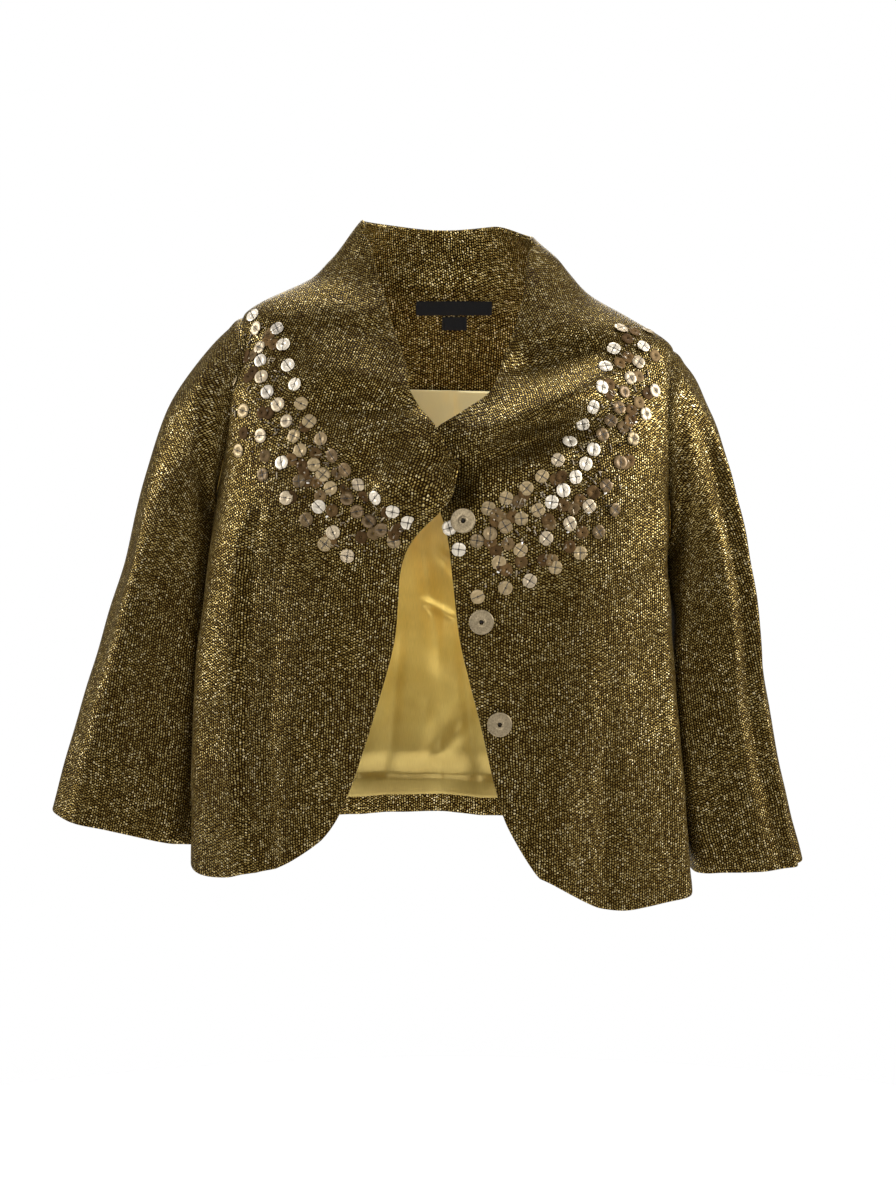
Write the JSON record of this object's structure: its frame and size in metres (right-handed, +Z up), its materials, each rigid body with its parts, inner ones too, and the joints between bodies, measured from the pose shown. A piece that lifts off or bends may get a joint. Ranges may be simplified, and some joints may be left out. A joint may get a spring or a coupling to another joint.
{
  "type": "cropped tweed jacket, worn form with no wearer",
  "caption": "Cropped flared jacket of tweed with a grown-on funnel collar, three-quarter sleeves, round front corners and a gold lining.",
  "frame": {"origin": "middle of the neck base between the shoulders, where the wearer's neck and shoulders hold the jacket", "axes": "+Z up, the front faces -Y, +X to the wearer's left"},
  "size_m": [0.677, 0.2481, 0.5918],
  "materials": {
    "tweed": "dark brown and olive-gold slub tweed with metallic threads",
    "satin": "smooth gold satin lining",
    "label_cloth": "black woven tape, blank",
    "button_metal": "brushed matte greyish gold",
    "sequin": "pearly pale gold to dull bronze discs",
    "bead": "small bronze and silver glass-like beads",
    "thread": "dark brown sewing thread"
  },
  "bodies": {
    "root": {"back": "tweed", "front_right": "tweed", "front_left": "tweed", "sleeve_right": "tweed", "sleeve_left": "tweed", "back_neck_facing": "tweed", "back_lining": "satin", "label": "label_cloth", "size_tab": "label_cloth", "button_1": "button_metal", "button_2": "button_metal", "button_3": "button_metal"}
  },
  "joints": []
}
